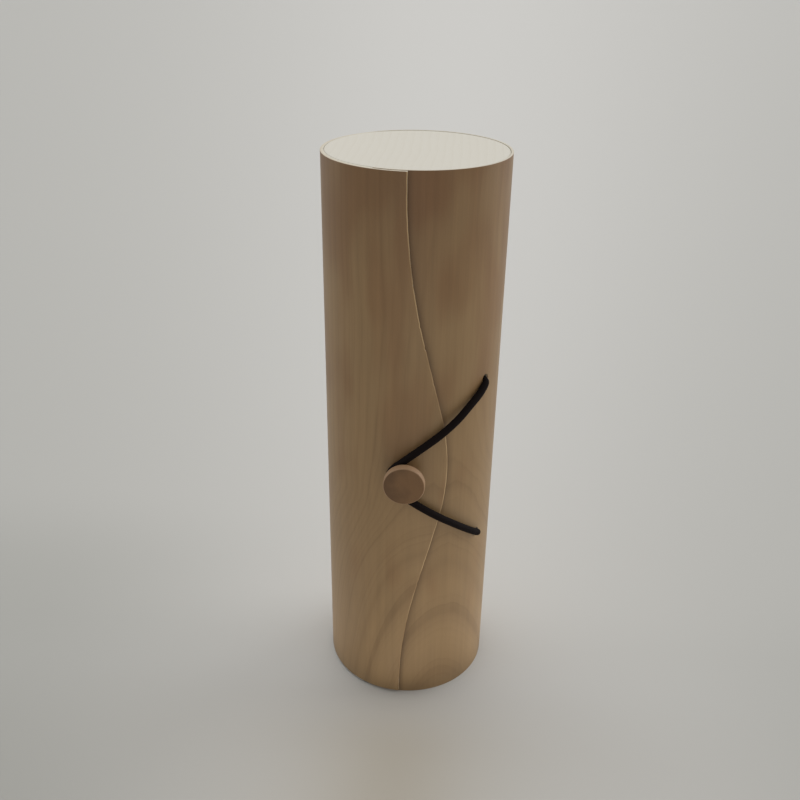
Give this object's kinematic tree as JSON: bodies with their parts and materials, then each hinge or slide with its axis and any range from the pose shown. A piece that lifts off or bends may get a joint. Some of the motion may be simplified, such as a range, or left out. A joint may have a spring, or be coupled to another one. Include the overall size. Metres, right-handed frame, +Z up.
{
  "type": "needle case",
  "caption": "Upright round tube case wrapped from lined wood veneer on two end discs, with a lapping flap held shut by a wooden button and a black elastic loop.",
  "frame": {"origin": "middle of the underside of the bottom disc, on the axis of the tube", "axes": "+Z up along the tube, -Y towards the button, +X towards the two holes of the elastic cord"},
  "size_m": [0.0597, 0.0679, 0.1975],
  "materials": {
    "veneer": "oiled fine-grained veneer, satin",
    "lining": "thin cream fleece, matt",
    "disc": "pale smooth-sanded wood",
    "button": "turned wood, satin",
    "tack": "plain steel",
    "elastic": "braided black elastic cord"
  },
  "bodies": {
    "case": {"wall_veneer": "veneer", "wall_lining": "lining", "bottom_disc": "disc", "top_disc": "disc", "upper_knot": "elastic", "lower_knot": "elastic"},
    "flap": {"flap_veneer": "veneer", "flap_lining": "lining", "button_stem": "button", "button_head": "button", "button_tack": "tack"},
    "loop": {"elastic_cord": "elastic"}
  },
  "joints": [
    {"name": "flap_hinge", "type": "hinge", "parent": "case", "child": "flap", "pos_m": [-0.01577, 0.02523, 0.09875], "axis": [0, 0, -1], "range_deg": [0, 100], "stiffness_Nm_per_rad": 0.03},
    {"name": "loop_swing", "type": "hinge", "parent": "case", "child": "loop", "pos_m": [0.02481, -0.01642, 0.09675], "axis": [0, 0, 1], "range_deg": [0, 90], "deforming": ["elastic_cord"]}
  ]
}
